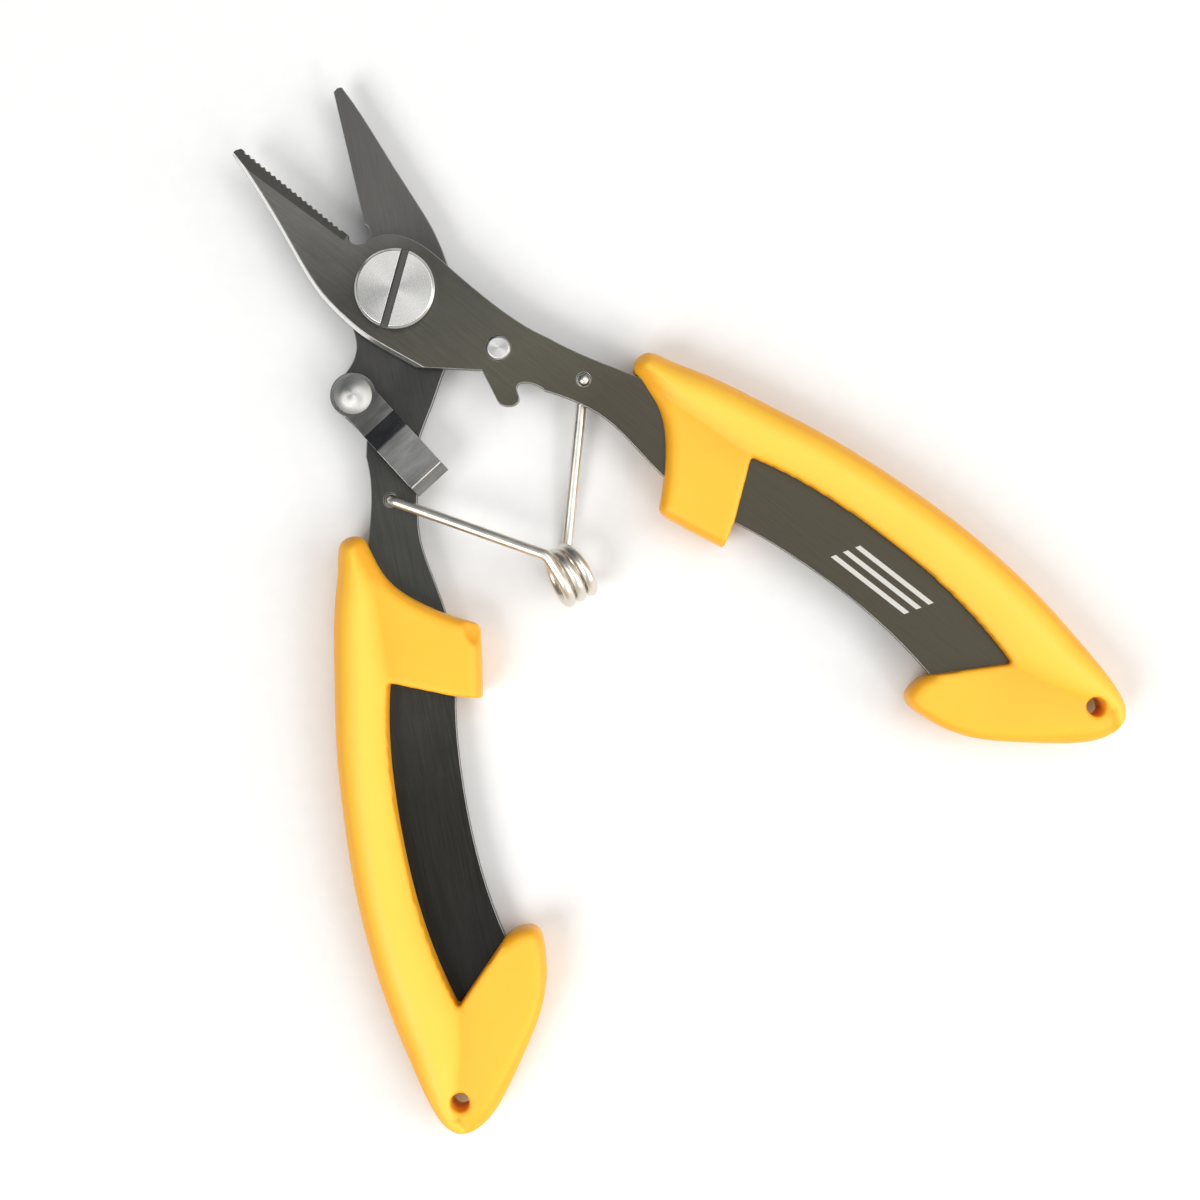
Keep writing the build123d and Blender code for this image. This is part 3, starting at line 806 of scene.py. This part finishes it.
def tube(name, path, material):
    """A round wire along a path of points, with domed ends."""
    path = [Vector(point) for point in path]
    tangents = []
    for index in range(len(path)):
        before = path[max(index - 1, 0)]
        after = path[min(index + 1, len(path) - 1)]
        tangents.append((after - before).normalized())
    side = tangents[0].orthogonal().normalized()
    rings = []
    for point, tangent in zip(path, tangents):
        side = (side - tangent * side.dot(tangent)).normalized()
        rings.append((point, tangent, side, 1.0))
    start, start_tangent, start_side, _ = rings[0]
    end, end_tangent, end_side, _ = rings[-1]
    for height, share in DOME:
        out = WIRE_RADIUS * DOME_HEIGHT * height
        rings.insert(0, (start - start_tangent * out, start_tangent, start_side, share))
        rings.append((end + end_tangent * out, end_tangent, end_side, share))
    vertices = []
    for point, tangent, side, share in rings:
        up = tangent.cross(side)
        for step in range(WIRE_SIDES):
            turn = 2 * pi * step / WIRE_SIDES
            vertices.append((point + (side * cos(turn) + up * sin(turn)) * WIRE_RADIUS * share) * MM)
    faces = [list(range(WIRE_SIDES))[::-1], list(range(len(vertices) - WIRE_SIDES, len(vertices)))]
    for ring in range(len(rings) - 1):
        for step in range(WIRE_SIDES):
            a = ring * WIRE_SIDES + step
            b = ring * WIRE_SIDES + (step + 1) % WIRE_SIDES
            faces.append((a, b, b + WIRE_SIDES, a + WIRE_SIDES))
    piece = mesh_from(name, vertices, faces)
    piece.data.materials.append(material)
    return piece


def rounded_path(points, radii):
    """Points along straight runs joined by round bends, one radius for each corner."""
    points = [Vector(point) for point in points]
    path = [points[0]]
    for before, corner, after, radius in zip(points, points[1:], points[2:], radii):
        arrive = (corner - before).normalized()
        leave = (after - corner).normalized()
        turn = arrive.angle(leave)
        start = corner - arrive * radius * tan(turn / 2)
        centre = corner + (leave - arrive).normalized() * (radius / cos(turn / 2))
        steps = max(3, int(radius * turn / PATH_SPACING))
        arm = start - centre
        axis = arrive.cross(leave).normalized()
        path.extend(centre + Matrix.Rotation(turn * step / steps, 3, axis) @ arm for step in range(steps + 1))
    path.append(points[-1])
    dense = [path[0]]
    for before, after in zip(path, path[1:]):
        steps = max(1, round((after - before).length / (3 * PATH_SPACING)))
        dense.extend(before.lerp(after, step / steps) for step in range(1, steps + 1))
    return dense


def make_spring():
    """One wire in three pieces. Each leg's piece bends at its kink, where two bodies meet."""
    material = bright_steel(
        "spring_wire_steel", turn=0.0, base=0.80, roughness=0.33, along=0.5, across=0.5, low=0.9, relief=0.0,
        warmth=WIRE_WARMTH,
    )
    anchor = Vector(JOINTS["rear_leg_turn"]["pos_m"]) / MM
    rear_kink = Vector(JOINTS["rear_kink_turn"]["pos_m"]) / MM
    front_kink = Vector(JOINTS["front_kink_turn"]["pos_m"]) / MM
    hole = from_half(np.array([FRONT_HOLE]), FRONT)[0]
    axis = Vector((cos(COIL_DIP) * cos(COIL_HEADING), cos(COIL_DIP) * sin(COIL_HEADING), -sin(COIL_DIP)))
    top = Vector((sin(COIL_DIP) * cos(COIL_HEADING), sin(COIL_DIP) * sin(COIL_HEADING), cos(COIL_DIP)))
    away = axis.cross(top)
    rise = COIL_PITCH / (2 * pi)
    start_tangent = (away * COIL_RADIUS + axis * rise).normalized()
    start = rear_kink + start_tangent * COIL_LEAD - top * COIL_RADIUS

    def on_coil(turn):
        angle = 2 * pi * turn
        return start + (top * cos(angle) + away * sin(angle)) * COIL_RADIUS + axis * rise * angle

    def coil(first, last):
        steps = round((last - first) * COIL_STEPS)
        return [on_coil(first + (last - first) * step / steps) for step in range(steps + 1)]

    rear_leg = rounded_path(
        [(anchor.x, anchor.y, REAR_HOOK_END), (anchor.x, anchor.y, REAR_LEG_HEIGHT), rear_kink, on_coil(0)],
        [HOOK_RADIUS, KINK_RADIUS],
    )
    piece = tube("spring_rear_wire", rear_leg + coil(0, LEG_TURN)[1:], material)
    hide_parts("spring_rear_leg")
    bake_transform(piece)

    middle = tube("spring_coil_wire", coil(LEG_TURN, COIL_TURNS - LEG_TURN), material)
    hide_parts("spring_coil")
    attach(middle, "coil")

    front_leg = rounded_path(
        [on_coil(COIL_TURNS), front_kink, (*hole, FRONT_LEG_HEIGHT), (*hole, FRONT_HOOK_END)],
        [KINK_RADIUS, HOOK_RADIUS],
    )
    last_turn = coil(COIL_TURNS - LEG_TURN, COIL_TURNS)[:-1]
    piece = tube("spring_front_wire", last_turn + front_leg, material)
    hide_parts("spring_front_leg")
    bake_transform(piece)


bpy.context.scene.view_settings.view_transform = "Standard"
make_camera()
make_floor()
make_world()
make_lights()
make_grips()
make_blades()
make_screw()
make_fittings()
make_spring()
